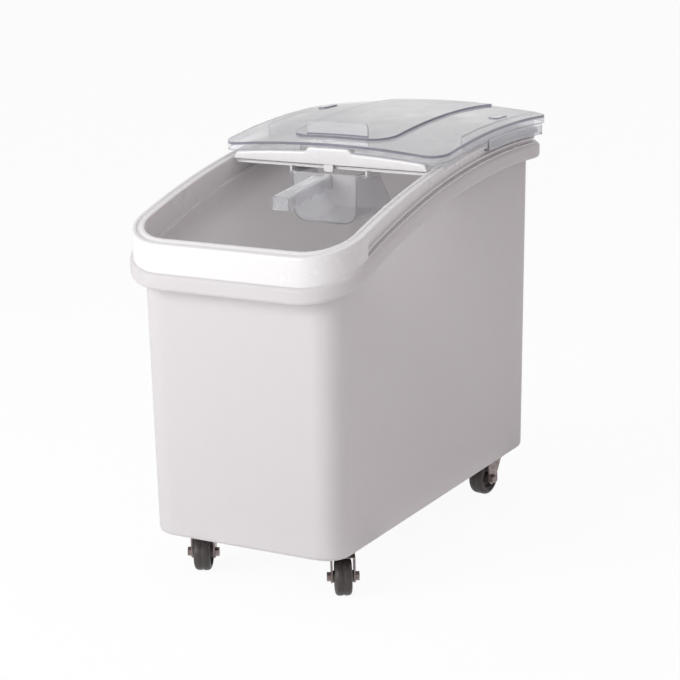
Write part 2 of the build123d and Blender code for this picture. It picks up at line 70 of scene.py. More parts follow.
class Value:
    """One number socket of a node tree, with operators that add Math nodes."""

    def __init__(self, tree: "Tree", socket: bpy.types.NodeSocket) -> None:
        """Keeps the tree and the socket."""
        self.tree = tree
        self.socket = socket

    def _math(self, operation: str, first: Any, second: Any = None) -> "Value":
        """Adds one Math node.

        Args:
            operation: Blender's name of the operation.
            first: A value, number or socket.
            second: The same, or None where the operation takes one.

        Returns:
            The node's result.
        """
        inputs = {0: first} if second is None else {0: first, 1: second}
        return self.tree.value("ShaderNodeMath", {"operation": operation}, inputs)

    def __add__(self, other: Any) -> "Value":
        """Sum."""
        return self._math("ADD", self, other)

    def __radd__(self, other: Any) -> "Value":
        """Sum with a number on the left."""
        return self._math("ADD", other, self)

    def __sub__(self, other: Any) -> "Value":
        """Difference."""
        return self._math("SUBTRACT", self, other)

    def __rsub__(self, other: Any) -> "Value":
        """Difference from a number on the left."""
        return self._math("SUBTRACT", other, self)

    def __mul__(self, other: Any) -> "Value":
        """Product."""
        return self._math("MULTIPLY", self, other)

    def __rmul__(self, other: Any) -> "Value":
        """Product with a number on the left."""
        return self._math("MULTIPLY", other, self)

    def size(self) -> "Value":
        """The value without its sign."""
        return self._math("ABSOLUTE", self)

    def or_more(self, other: Any) -> "Value":
        """The larger of two values."""
        return self._math("MAXIMUM", self, other)

    def ramp(self, low: Any, high: Any, out_low: Any = 0.0, out_high: Any = 1.0) -> "Value":
        """A clamped change of range.

        Args:
            low: Where the input range starts.
            high: Where the input range ends.
            out_low: What low becomes.
            out_high: What high becomes.

        Returns:
            The mapped value.
        """
        inputs = {0: self, 1: low, 2: high, 3: out_low, 4: out_high}
        return self.tree.value("ShaderNodeMapRange", {"clamp": True}, inputs)


class Tree:
    """The node tree of a material or a world, with one way of adding nodes."""

    def __init__(self, owner: Union[bpy.types.Material, bpy.types.World], output: str) -> None:
        """Empties the owner's tree and gives it an output.

        Args:
            owner: The material or world.
            output: Blender's type of the output node.
        """
        owner.use_nodes = True
        self.owner = owner
        self.tree = owner.node_tree
        self.tree.nodes.clear()
        self.output = self.node(output)

    @classmethod
    def of_material(cls, name: str) -> "Tree":
        """The empty tree of a new material."""
        return cls(bpy.data.materials.new(name), "ShaderNodeOutputMaterial")

    def node(
        self,
        kind: str,
        settings: Optional[Mapping[str, Any]] = None,
        inputs: Optional[Inputs] = None,
    ) -> bpy.types.Node:
        """Adds one node, sets it up and links it.

        Args:
            kind: Blender's type of the node.
            settings: Its own settings, which are set first.
            inputs: Numbers, colours or links, by socket.

        Returns:
            The node.
        """
        made = self.tree.nodes.new(kind)
        for key, setting in (settings or {}).items():
            setattr(made, key, setting)
        for key, given in (inputs or {}).items():
            self.link(given, made.inputs[key])
        return made

    def link(self, given: Any, socket: bpy.types.NodeSocket) -> None:
        """Feeds a socket.

        Args:
            given: A value, node, socket, number or colour.
            socket: The input that takes it.
        """
        if isinstance(given, Value):
            self.tree.links.new(given.socket, socket)
        elif isinstance(given, bpy.types.Node):
            self.tree.links.new(given.outputs[0], socket)
        elif isinstance(given, bpy.types.NodeSocket):
            self.tree.links.new(given, socket)
        elif isinstance(given, tuple) and socket.type == "RGBA":
            socket.default_value = (*given, 1.0)
        else:
            socket.default_value = given

    def value(self, kind: str, settings: Mapping[str, Any], inputs: Inputs) -> Value:
        """Adds a node and wraps its first output as a value."""
        return Value(self, self.node(kind, settings, inputs).outputs[0])

    def place(self) -> bpy.types.NodeSocket:
        """The surface point in the piece's own frame, in metres."""
        return self.node("ShaderNodeTexCoord").outputs["Object"]

    def component(self, vector: Any, axis: Axis) -> Value:
        """One component of a vector."""
        parts = self.node("ShaderNodeSeparateXYZ", None, {0: vector})
        return Value(self, parts.outputs[axis.value])

    def stretched(self, scale: Point) -> bpy.types.Node:
        """The surface point, stretched by a factor on each axis."""
        settings = {"operation": "MULTIPLY"}
        return self.node("ShaderNodeVectorMath", settings, {0: self.place(), 1: scale})

    def distance(self, centre: Point) -> Value:
        """How far the surface point is from a point of the piece's own frame."""
        made = self.node("ShaderNodeVectorMath", {"operation": "DISTANCE"}, {0: self.place(), 1: centre})
        return Value(self, made.outputs["Value"])

    def noise(self, scale: Number, detail: Number = 2.0, at: Any = None) -> Value:
        """Smooth noise over the surface.

        Args:
            scale: How many features a metre holds.
            detail: How many finer layers it has.
            at: The coordinate, or None for the surface point.

        Returns:
            Noise from 0 to 1.
        """
        inputs = {"Vector": at or self.place(), "Scale": scale, "Detail": detail}
        return self.value("ShaderNodeTexNoise", {}, inputs)

    def facing(self, axis: Axis) -> Value:
        """How far the surface faces along an axis of the piece, without sign."""
        normal = self.node("ShaderNodeTexCoord").outputs["Normal"]
        return self.component(normal, axis).size()

    def mix(self, factor: Any, first: Any, second: Any) -> bpy.types.NodeSocket:
        """Mixes two colours.

        Args:
            factor: 0 for the first, 1 for the second.
            first: A colour or link.
            second: A colour or link.

        Returns:
            The mixed colour.
        """
        made = self.node("ShaderNodeMix", {"data_type": "RGBA"}, {0: factor, 6: first, 7: second})
        return made.outputs[2]

    def bump(self, height: Any, strength: Number, distance: Number) -> bpy.types.Node:
        """A bump node for a height in metres times distance."""
        inputs = {"Strength": strength, "Distance": distance, "Height": height}
        return self.node("ShaderNodeBump", None, inputs)

    def principled(self, inputs: Inputs) -> bpy.types.Node:
        """One main shader."""
        return self.node("ShaderNodeBsdfPrincipled", None, inputs)

    def blend(self, share: Any, first: bpy.types.Node, second: bpy.types.Node) -> bpy.types.Node:
        """Two shaders, of which the second gets the share."""
        return self.node("ShaderNodeMixShader", None, {0: share, 1: first, 2: second})

    def show(self, shader: bpy.types.Node) -> None:
        """Joins a shader to the output."""
        self.link(shader, self.output.inputs["Surface"])


@dataclass(frozen=True)
class MouldedPlastic:
    """Opaque moulded plastic with a fine skin texture and faint handling marks.

    Scales say how many features a metre holds, and glow_through is the share of light that passes the wall.
    """

    name: str
    colour: Colour
    shade: Colour
    roughness: float
    grain: float
    grain_depth: float
    coat: float = 0.0
    scuff: float = 0.25
    glow_through: float = 0.0
    cloud_scale: float = 5.0
    mottle_scale: float = 46.0
    streak_scale: float = 9.0
    streak_stretch: Point = (26.0, 26.0, 1.6)
    sag_scale: float = 7.0
    sag_height: float = 4.0
    coarse_grain: float = 0.18
    worn_shade: float = 0.93
    shade_roughness: float = 0.07
    scuff_roughness: float = 0.12
    coat_roughness: float = 0.12
    index: float = 1.5

    def material(self) -> bpy.types.Material:
        """Builds the material.

        Returns:
            The finished material.
        """
        tree = Tree.of_material(self.name)
        cloud = tree.noise(self.cloud_scale, 3.0)
        mottled = tree.noise(self.mottle_scale, 4.0)
        streak = tree.noise(self.streak_scale, 5.0, tree.stretched(self.streak_stretch))
        marks = streak.ramp(0.60, 0.74) * mottled.ramp(0.45, 0.7)
        tone = (cloud * 0.6 + mottled * 0.4).ramp(0.32, 0.70)
        worn = tuple(part * self.worn_shade for part in self.shade)
        clean = tree.mix(tone, self.colour, self.shade)
        dulled = tone.ramp(0.0, 1.0, self.roughness, self.roughness + self.shade_roughness)
        skin_grain = tree.noise(self.grain, 3.0) + tree.noise(self.grain * self.coarse_grain, 2.0) * 0.8
        sag = tree.noise(self.sag_scale, 1.0)
        shader = tree.principled({
            "Base Color": tree.mix(marks * self.scuff, clean, worn),
            "Roughness": dulled + marks * (self.scuff_roughness * self.scuff),
            "IOR": self.index,
            "Coat Weight": self.coat,
            "Coat Roughness": self.coat_roughness,
            "Normal": tree.bump(skin_grain * 0.5 + sag * self.sag_height, 1.0, self.grain_depth),
        })
        if self.glow_through:
            wall = tree.node("ShaderNodeBsdfTranslucent", None, {"Color": self.colour})
            share = tone.ramp(0.0, 1.0, self.glow_through, self.glow_through * 0.95)
            shader = tree.blend(share, shader, wall)
        tree.show(shader)
        return tree.owner


@dataclass(frozen=True)
class PaintedShadeBand:
    """A band of painted shade on the lid between two heights above the crown."""

    low: float
    high: float
    strength: float


@dataclass(frozen=True)
class ClearPlastic:
    """Clear moulded plastic, with painted shade along the bends and rims of its upright walls.

    The crown is a ball of crown_radius round crown_centre, from which the bands' heights are measured.
    """

    name: str
    tint: Colour
    # The colour of the painted shade on the upright walls and in the bands
    edge: Colour
    roughness: float
    haze: float
    wall_strength: float = 0.1
    bands: tuple[PaintedShadeBand, ...] = ()
    crown_centre: Point = (0.0, 0.2, -1.088)
    crown_radius: float = 1.752
    band_fade: float = 0.0006
    mottle_scale: float = 30.0
    scratch_scale: float = 14.0
    scratch_stretch: Point = (1.5, 30.0, 1.5)
    scratch_roughness: float = 0.06
    mottle_roughness: float = 0.05
    wave_scale: float = 12.0
    wave_height: float = 3.0
    wave_depth: float = 0.0004
    orange_peel_scale: float = 420.0
    milky_roughness: float = 0.3
    index: float = 1.49

    def _edges(self, tree: Tree) -> Value:
        """Finds how much painted shade the plastic gets at each point, on its upright walls and in the bands.

        Args:
            tree: The material's tree.

        Returns:
            The painted shade, from 0 to 1.
        """
        upright = (1.0 - tree.facing(Axis.Z)).ramp(0.35, 0.85)
        above_crown = tree.distance(self.crown_centre) - self.crown_radius
        total = upright * self.wall_strength
        for band in self.bands:
            over_low = above_crown.ramp(band.low - self.band_fade, band.low)
            under_high = above_crown.ramp(band.high, band.high + self.band_fade, 1.0, 0.0)
            total = total + over_low * under_high * upright * band.strength
        return total.ramp(0.0, 1.0)

    def material(self) -> bpy.types.Material:
        """Builds the material.

        Returns:
            The finished material.
        """
        tree = Tree.of_material(self.name)
        mottled = tree.noise(self.mottle_scale, 3.0)
        scratch = tree.noise(self.scratch_scale, 4.0, tree.stretched(self.scratch_stretch)).ramp(0.58, 0.72)
        dulled = mottled.ramp(0.3, 0.7, self.roughness, self.roughness + self.mottle_roughness)
        sag = tree.noise(self.wave_scale, 1.0)
        wave = sag * self.wave_height + tree.noise(self.orange_peel_scale, 2.0) * 0.1
        clear = tree.principled({
            # Painted shade: the edge colour darkens the upright walls and the bands along the bends
            "Base Color": tree.mix(self._edges(tree), self.tint, self.edge),
            "Roughness": dulled + scratch * self.scratch_roughness,
            "IOR": self.index,
            "Transmission Weight": 1.0,
            "Normal": tree.bump(wave, 0.5, self.wave_depth),
        })
        milky = tree.principled({
            "Base Color": self.tint,
            "Roughness": self.milky_roughness,
            "Normal": tree.bump(wave, 0.5, self.wave_depth),
        })
        veil = mottled.ramp(0.2, 0.8, self.haze * 0.8, self.haze * 1.2)
        tree.show(tree.blend(veil, clear, milky))
        return tree.owner


@dataclass(frozen=True)
class ZincSteel:
    """Dull plated steel with spangle, grime and a brushed grain."""

    name: str
    bright: Colour
    dull: Colour
    roughness: float
    spangle_scale: float = 170.0
    grime_scale: float = 70.0
    brush_scale: float = 60.0
    brush_stretch: Point = (1.0, 1.0, 24.0)
    grime_roughness: float = 0.2
    relief: float = 0.0003

    def material(self) -> bpy.types.Material:
        """Builds the material.

        Returns:
            The finished material.
        """
        tree = Tree.of_material(self.name)
        cells = {"Vector": tree.place(), "Scale": self.spangle_scale}
        spangle = tree.value("ShaderNodeTexVoronoi", {}, cells)
        grime = tree.noise(self.grime_scale, 5.0)
        brushed = tree.noise(self.brush_scale, 3.0, tree.stretched(self.brush_stretch))
        tone = (grime * 0.7 + spangle * 0.4).ramp(0.25, 0.8)
        tree.show(tree.principled({
            "Base Color": tree.mix(tone, self.bright, self.dull),
            "Metallic": tone.ramp(0.0, 1.0, 0.95, 0.75),
            "Roughness": tone.ramp(0.0, 1.0, self.roughness, self.roughness + self.grime_roughness),
            "Normal": tree.bump(brushed + grime, 0.35, self.relief),
        }))
        return tree.owner


@dataclass(frozen=True)
class RubberTread:
    """Dark tread rubber with patches of pale dust."""

    name: str
    colour: Colour
    dust: Colour
    roughness: float
    patch_scale: float = 95.0
    fine_scale: float = 900.0
    dust_share: float = 0.55
    dust_roughness: float = 0.2
    relief: float = 0.0003

    def material(self) -> bpy.types.Material:
        """Builds the material.

        Returns:
            The finished material.
        """
        tree = Tree.of_material(self.name)
        patch = tree.noise(self.patch_scale, 5.0)
        fine = tree.noise(self.fine_scale, 3.0)
        dusty = (patch * 0.7 + fine * 0.3).ramp(0.4, 0.7)
        tree.show(tree.principled({
            "Base Color": tree.mix(dusty * self.dust_share, self.colour, self.dust),
            "Roughness": dusty.ramp(0.0, 1.0, self.roughness, self.roughness + self.dust_roughness),
            "Normal": tree.bump(fine + patch * 2.0, 0.45, self.relief),
        }))
        return tree.owner


class Finish(Enum):
    """Every finish of the bin, by the material slot it dresses."""

    WHITE_SHELL = MouldedPlastic(
        name="white_shell",
        colour=(0.81, 0.795, 0.80),
        shade=(0.78, 0.76, 0.766),
        roughness=0.42,
        grain=700.0,
        grain_depth=0.0001,
        glow_through=0.5,
    )
    WHITE_FRAME = MouldedPlastic(
        name="white_frame",
        colour=(0.80, 0.795, 0.80),
        shade=(0.775, 0.765, 0.772),
        roughness=0.24,
        grain=520.0,
        grain_depth=0.00006,
        coat=0.2,
        glow_through=0.14,
    )
    CLEAR_LID = ClearPlastic(
        name="clear_lid",
        tint=(0.935, 0.937, 0.95),
        # The dark edge colour and the bands paint shade on the lid's upright walls, bends and rims
        edge=(0.10, 0.09, 0.21),
        roughness=0.03,
        haze=0.16,
        wall_strength=0.06,
        bands=(
            PaintedShadeBand(-0.0040, -0.0002, 0.95),
            PaintedShadeBand(-0.0138, -0.0118, 0.45),
            PaintedShadeBand(0.0002, 0.0052, 1.0),
            PaintedShadeBand(-0.042, -0.0165, 0.32),
        ),
    )
    CLEAR_SCOOP = ClearPlastic(
        name="clear_scoop",
        tint=(0.96, 0.965, 0.98),
        # The edge colour paints shade on the scoop's upright walls
        edge=(0.50, 0.50, 0.62),
        roughness=0.06,
        haze=0.20,
        wall_strength=0.18,
    )
    ZINC_STEEL = ZincSteel(
        name="zinc_steel",
        bright=(0.36, 0.31, 0.30),
        dull=(0.17, 0.135, 0.128),
        roughness=0.30,
    )
    GREY_TREAD = RubberTread(
        name="grey_tread",
        colour=(0.036, 0.030, 0.029),
        dust=(0.075, 0.064, 0.060),
        roughness=0.38,
    )
    GREY_CORE = MouldedPlastic(
        name="grey_core",
        colour=(0.13, 0.12, 0.115),
        shade=(0.10, 0.09, 0.087),
        roughness=0.42,
        grain=800.0,
        grain_depth=0.0002,
    )


class FinishBook:
    """The bin's materials, each made once."""

    def __init__(self) -> None:
        """Starts with no material made."""
        self._made: dict[Finish, bpy.types.Material] = {}

    def get(self, finish: Finish) -> bpy.types.Material:
        """Finds the material of a finish, and makes it the first time.

        Args:
            finish: The finish.

        Returns:
            Its material.
        """
        if finish not in self._made:
            self._made[finish] = finish.value.material()
        return self._made[finish]

    def dress(self, piece: bpy.types.Object, finish: Finish) -> None:
        """Puts a finish in every material slot of a piece.

        Args:
            piece: The mesh object.
            finish: Its finish.
        """
        material = self.get(finish)
        if not piece.material_slots:
            piece.data.materials.append(material)
        for slot in piece.material_slots:
            slot.material = material


@dataclass
class PackedPieces:
    """The frame's own pieces, dressed by the slot that the record gives each one."""

    finishes: FinishBook

    def dress(self) -> None:
        """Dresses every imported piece."""
        for entry in frame["record"]["subparts"]:
            piece = frame["nodes"][entry["node"]]
            finish = Finish[entry["material_slot"].upper()]
            self.finishes.dress(piece, finish)
            LOG.info("dressed %s as %s", piece.name, finish.value.name)


@dataclass(frozen=True)
class Arc:
    """One of the long arcs that the bin's top follows from front to back."""

    radius: float
    crest_y: float
    crest_z: float

    def height(self, y: float) -> float:
        """The arc's height at one place along the bin."""
        return self.crest_z - self.radius + math.sqrt(self.radius**2 - (y - self.crest_y) ** 2)


RAIL_ARC = Arc(radius=1.720, crest_y=0.200, crest_z=0.632)
RIM_ARC = Arc(radius=1.600, crest_y=0.225, crest_z=0.607)


def clamped(share: float) -> float:
    """A number held between 0 and 1."""
    return max(0.0, min(1.0, share))


def rounded(profile: Sequence[Corner], steps: int = 4, share: float = 0.49) -> list[tuple[float, float]]:
    """Rounds the corners of a closed profile.

    Args:
        profile: Its corners, each with a radius after the two coordinates.
        steps: How many edges each round corner gets.
        share: The most of a side that one corner may use.

    Returns:
        The points, as many for every profile with as many corners.
    """
    points: list[tuple[float, float]] = []
    for index, (u, v, radius) in enumerate(profile):
        here = Vector((u, v))
        to_last = Vector(profile[index - 1][:2]) - here
        to_next = Vector(profile[(index + 1) % len(profile)][:2]) - here
        reach_limit = share * min(to_last.length, to_next.length)
        turn = math.pi - to_last.angle(to_next, math.pi)
        reach = min(radius * math.tan(turn / 2), reach_limit) if turn > NO_TURN else 0.0
        start = here + to_last.normalized() * reach
        end = here + to_next.normalized() * reach
        for step in range(steps + 1):
            t = step / steps
            spot = start * (1 - t) ** 2 + here * (2 * t * (1 - t)) + end * t**2
            points.append((spot.x, spot.y))
    return points


def skin(
    name: str,
    rings: Sequence[Sequence[Vector]],
    closed: bool,
    sharp_angle: float = 38.0,
) -> bpy.types.Object:
    """Makes a piece from rings of points, joined one to the next.

    Args:
        name: The piece's name.
        rings: Its rings, each with as many points.
        closed: Whether the last ring joins the first. Both ends are capped where it doesn't.
        sharp_angle: The angle in degrees from which an edge stays sharp.

    Returns:
        The piece.
    """
    shape = bmesh.new()
    made = [[shape.verts.new(point) for point in ring] for ring in rings]
    count = len(made[0])
    pairs = zip(made, made[1:] + made[:1]) if closed else zip(made, made[1:])
    for first, second in pairs:
        for index in range(count):
            after = (index + 1) % count
            shape.faces.new((first[index], first[after], second[after], second[index]))
    if not closed:
        shape.faces.new(made[0][::-1])
        shape.faces.new(made[-1])
    bmesh.ops.dissolve_degenerate(shape, dist=TINY, edges=shape.edges[:])
    bmesh.ops.recalc_face_normals(shape, faces=shape.faces[:])
    mesh = bpy.data.meshes.new(name)
    shape.to_mesh(mesh)
    shape.free()
    mesh.polygons.foreach_set("use_smooth", [True] * len(mesh.polygons))
    mesh.set_sharp_from_angle(angle=math.radians(sharp_angle))
    piece = bpy.data.objects.new(name, mesh)
    bpy.context.scene.collection.objects.link(piece)
    return piece


@dataclass
class TopFrame:
    """The white frame on the rim, with grooved rails, a wide mouth, a sealing bar, a deck and scoop hangers.

    Insets are measured in from the rim's outline, rises up from the rim's arc and drops down from the
    rail's arc.
    """

    finishes: FinishBook
    # Outline
    half_width: float = 0.1975
    half_length: float = 0.375
    corner: float = 0.084
    corner_steps: int = 16
    side_steps: int = 64
    # Outer face, with the groove that the lid's feet run in
    groove_start: float = -0.286
    face_inset: float = 0.005
    groove_inset: float = 0.0135
    ridge_inset: float = 0.0085
    sill_rise: float = 0.002
    ridge_low: float = 0.006
    ridge_high: float = 0.0095
    rail_depth: float = 0.006
    sill_round: float = 0.0012
    ridge_round: float = 0.0015
    groove_floor_round: float = 0.004
    groove_roof_round: float = 0.003
    rail_lip_round: float = 0.0018
    rail_round: float = 0.0045
    # Land, with a shallow channel along it
    land_inset: float = 0.0245
    channel_out: float = 0.0105
    channel_in: float = 0.0185
    channel_slope: float = 0.002
    channel_depth: float = 0.0016
    channel_round: float = 0.002
    mouth_round: float = 0.0035
    # Sealing bar
    bar_front: float = -0.056
    bar_depth: float = 0.014
    bar_half_steps: int = 58
    lip_drop: float = 0.0018
    lip_round: float = 0.0015
    heel_round: float = 0.001
    seal_round: float = 0.0045
    seal_radius: float = 1.7382
    seal_end: float = 0.1705
    seal_end_length: float = 0.008
    stop_half: float = 0.041
    stop_rise: float = 0.0065
    stop_slope: float = 0.006
    # Deck
    deck_drop: float = 0.006
    deck_sheet: float = 0.004
    deck_under_land: float = 0.001
    deck_under_bar: float = 0.6
    deck_steps: int = 60
    # Scoop hangers
    hook_inner: float = 0.0582
    hook_web: float = 0.0652
    hook_sheet: float = 0.003
    hook_foot_top: float = 0.5972
    hook_length: float = 0.056
    hook_steps: int = 8
    hook_tip_round: float = 0.0012
    hook_bend_round: float = 0.003
    hook_nook_round: float = 0.001
    tab_half_width: float = 0.008
    tab_low: float = 0.6003
    tab_round: float = 0.003
    tab_rows: tuple[float, ...] = (0.0005, 0.0035, 0.006)

    def stations(self) -> list[Station]:
        """Walks once round the rim.

        Returns:
            Places with their inward directions, and whether the rail groove runs there.
        """
        inner_x, inner_y = self.half_width - self.corner, self.half_length - self.corner
        found: list[Station] = []
        for quarter, (sx, sy) in enumerate(((1, -1), (1, 1), (-1, 1), (-1, -1))):
            for step in range(self.corner_steps + 1):
                angle = math.radians(-90 + quarter * 90 + step * 90 / self.corner_steps)
                out = Vector((math.cos(angle), math.sin(angle), 0.0))
                centre = Vector((sx * inner_x, sy * inner_y, 0.0))
                found.append((centre + out * self.corner, -out, sy > 0))
            if quarter in (0, 2):
                found += self._side(sx, rearward=quarter == 0)
        return found

    def _side(self, side: int, rearward: bool) -> list[Station]:
        """Walks along one long side, with two places where the groove's end wall stands.

        Args:
            side: 1 for the right side, -1 for the left.
            rearward: Whether the walk goes to the rear.

        Returns:
            The side's places.
        """
        inner_y = self.half_length - self.corner
        rows = [-inner_y + 2 * inner_y * step / self.side_steps for step in range(1, self.side_steps)]
        places = [(self.groove_start, False), (self.groove_start, True)]
        places += [(y, True) for y in rows if y > self.groove_start]
        inward = Vector((-side, 0.0, 0.0))
        return [
            (Vector((side * self.half_width, y, 0.0)), inward, grooved)
            for y, grooved in (places if rearward else reversed(places))
        ]

    def section(self, base: Vector, inward: Vector, grooved: bool) -> list[Vector]:
        """The frame's section at one place.

        Args:
            base: The place on the rim's outline.
            inward: The direction in from it.
            grooved: Whether the rail groove runs there.

        Returns:
            The section's points.
        """
        rail, rim = RAIL_ARC.height(base.y), RIM_ARC.height(base.y)
        face, inner = self.face_inset, self.land_inset
        back = self.groove_inset if grooved else face
        ridge = self.ridge_inset if grooved else face
        channel_floor = rail - self.channel_depth
        profile = [
            (face, rim, 0.0),
            (face, rim + self.sill_rise, self.sill_round),
            (back, rim + self.sill_rise, self.ridge_round),
            (back, rim + self.ridge_low, self.ridge_round),
            (ridge, rim + self.ridge_low, self.ridge_round),
            (ridge, rim + self.ridge_high, self.ridge_round),
            (back, rim + self.ridge_high, self.groove_floor_round),
            (back, rail - self.rail_depth, self.groove_roof_round),
            (face, rail - self.rail_depth, self.rail_lip_round),
            (face, rail, self.rail_round),
            (self.channel_out, rail, self.channel_round),
            (self.channel_out + self.channel_slope, channel_floor, self.channel_round),
            (self.channel_in - self.channel_slope, channel_floor, self.channel_round),
            (self.channel_in, rail, self.channel_round),
            (inner, rail, self.mouth_round),
            (inner, rim, 0.0),
        ]
        follows_arc = abs(inward.y) >= TINY
        ring = []
        for inset, z in rounded(profile):
            at = base + inward * inset
            if follows_arc:
                z += (RAIL_ARC.height(at.y) - rail) * clamped((z - rim) / (rail - rim))
            ring.append(Vector((at.x, at.y, z)))
        return ring

    def ring(self) -> bpy.types.Object:
        """The part of the frame that goes all round the rim."""
        return skin("frame_ring", [self.section(*place) for place in self.stations()], closed=True)

    def seal_top(self, x: float) -> float:
        """Finds the sealing bar's height, with the raised stop in its middle and its round ends.

        Args:
            x: The place across the bin.

        Returns:
            The height.
        """
        rail = RAIL_ARC.height(self.bar_front)
        centre_z = RAIL_ARC.crest_z - RAIL_ARC.radius
        crown = centre_z + math.sqrt(self.seal_radius**2 - x**2 - (self.bar_front - RAIL_ARC.crest_y) ** 2)
        crown += self.stop_rise * clamped((self.stop_half - abs(x)) / self.stop_slope)
        past = clamped((abs(x) - self.seal_end + self.seal_end_length) / self.seal_end_length)
        return rail + (crown - rail) * math.sqrt(1.0 - past**2)

    def bar(self) -> bpy.types.Object:
        """Makes the cross-member's raised sealing bar and its lower lip.

        Returns:
            The bar.
        """
        low = RAIL_ARC.height(self.bar_front) - self.lip_drop
        rear = self.bar_front + self.bar_depth
        rings = []
        for step in range(-self.bar_half_steps, self.bar_half_steps + 1):
            x = self.seal_end * step / self.bar_half_steps
            top = self.seal_top(x)
            profile = [
                (self.bar_front, low, self.lip_round),
                (self.bar_front, top, self.seal_round),
                (rear, top, self.seal_round),
                (rear, low, self.heel_round),
            ]
            rings.append([Vector((x, y, z)) for y, z in rounded(profile, steps=5)])
        return skin("sealing_bar", rings, closed=False)

    def deck(self) -> bpy.types.Object:
        """Makes the sunk deck behind the bar, narrowed by the frame's rear corners.

        Returns:
            The deck.
        """
        inner_corner = self.corner - self.land_inset
        wide = self.half_width - self.land_inset + self.deck_under_land
        rear = self.half_length - self.land_inset
        front = self.bar_front + self.bar_depth * self.deck_under_bar
        rings = []
        for step in range(self.deck_steps + 1):
            y = front + (rear - front) * step / self.deck_steps
            into = max(0.0, y - (rear - inner_corner))
            half = wide - inner_corner + math.sqrt(max(0.0, inner_corner**2 - into**2))
            top = RAIL_ARC.height(y) - self.deck_drop
            low = top - self.deck_sheet
            section = ((-half, low), (half, low), (half, top), (-half, top))
            rings.append([Vector((x, y, z)) for x, z in section])
        return skin("sunk_deck", rings, closed=False)

    def hook(self, side: int) -> bpy.types.Object:
        """Makes one J rail that carries a flange of the scoop.

        Args:
            side: 1 for the right side, -1 for the left.

        Returns:
            The rail.
        """
        low = self.hook_foot_top - self.hook_sheet
        out = self.hook_web + self.hook_sheet
        rings = []
        for step in range(self.hook_steps + 1):
            y = self.bar_front + self.hook_length * step / self.hook_steps
            top = RAIL_ARC.height(y) - self.deck_drop - self.deck_sheet / 2
            profile = [
                (self.hook_inner, low, self.hook_tip_round),
                (out, low, self.hook_bend_round),
                (out, top, 0.0),
                (self.hook_web, top, 0.0),
                (self.hook_web, self.hook_foot_top, self.hook_nook_round),
                (self.hook_inner, self.hook_foot_top, self.hook_tip_round),
            ]
            rings.append([Vector((side * x, y, z)) for x, z in rounded(profile)])
        return skin("scoop_hook_right" if side > 0 else "scoop_hook_left", rings, closed=False)

    def middle_tab(self) -> bpy.types.Object:
        """Makes the short tab between the J rails.

        Returns:
            The tab.
        """
        half, top = self.tab_half_width, RAIL_ARC.height(self.bar_front) - self.lip_drop
        profile = [
            (-half, self.tab_low, self.tab_round),
            (half, self.tab_low, self.tab_round),
            (half, top, 0.0),
            (-half, top, 0.0),
        ]
        outline = rounded(profile)
        rings = [[Vector((x, self.bar_front + row, z)) for x, z in outline] for row in self.tab_rows]
        return skin("middle_tab", rings, closed=False)

    def build(self) -> None:
        """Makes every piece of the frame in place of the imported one."""
        pieces = [self.ring(), self.bar(), self.deck(), self.hook(-1), self.hook(1), self.middle_tab()]
        for piece in pieces:
            self.finishes.dress(piece, Finish.WHITE_FRAME)
            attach(piece, "bin")
            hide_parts("top_frame")
            LOG.info("made %s in place of top_frame", piece.name)


@dataclass
class CasterTyres:
    """Tyres with a strongly rounded tread and a fine groove round it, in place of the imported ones."""

    finishes: FinishBook
    radius: float = 0.029
    bore: float = 0.021
    width: float = 0.026
    tread_round: float = 0.0095
    groove_half: float = 0.0022
    groove_floor_half: float = 0.0016
    groove_depth: float = 0.0007
    groove_lip_round: float = 0.0006
    groove_floor_round: float = 0.0003
    steps: int = 72

    def tyre(self, node: str, centre: Vector, axle: Vector) -> bpy.types.Object:
        """Turns one tyre's section about its axle.

        Args:
            node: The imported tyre.
            centre: The middle of its axle.
            axle: The axle's direction.

        Returns:
            The tyre.
        """
        half = self.width / 2
        floor = self.radius - self.groove_depth
        profile = [
            (-half, self.bore, 0.0),
            (-half, self.radius, self.tread_round),
            (-self.groove_half, self.radius, self.groove_lip_round),
            (-self.groove_floor_half, floor, self.groove_floor_round),
            (self.groove_floor_half, floor, self.groove_floor_round),
            (self.groove_half, self.radius, self.groove_lip_round),
            (half, self.radius, self.tread_round),
            (half, self.bore, 0.0),
        ]
        section = rounded(profile, steps=8, share=0.95)
        up = Vector((0.0, 0.0, 1.0))
        across = axle.cross(up)
        rings = []
        for step in range(self.steps):
            angle = 2 * math.pi * step / self.steps
            out = across * math.cos(angle) + up * math.sin(angle)
            rings.append([centre + axle * u + out * r for u, r in section])
        return skin("round_" + node, rings, closed=True)

    def build(self) -> None:
        """Makes a tyre for each joint that rolls."""
        for joint in frame["record"]["behaviour"]["joints"]:
            if not joint["name"].startswith("roll_"):
                continue
            node = joint["name"].replace("roll_", "tyre_")
            axle = Vector(joint["axis"]).normalized()
            piece = self.tyre(node, Vector(joint["pos_m"]), axle)
            self.finishes.dress(piece, Finish.GREY_TREAD)
            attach(piece, joint["child"])
            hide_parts(node)
            LOG.info("made %s in place of %s", piece.name, node)


@dataclass(frozen=True)
class SoftLamp:
    """A square area lamp, with its place, its side and its power in watts."""

    name: str
    place: Point
    side: float
    power: float

    def hang(self, target: Point) -> None:
        """Adds the lamp and points it at the target.

        Args:
            target: The point that it lights.
        """
        light = bpy.data.lights.new(self.name, "AREA")
        light.energy = self.power
        light.size = self.side
        lamp = bpy.data.objects.new(self.name, light)
        lamp.location = self.place
        lamp.rotation_euler = (Vector(target) - lamp.location).to_track_quat("-Z", "Y").to_euler()
        bpy.context.scene.collection.objects.link(lamp)


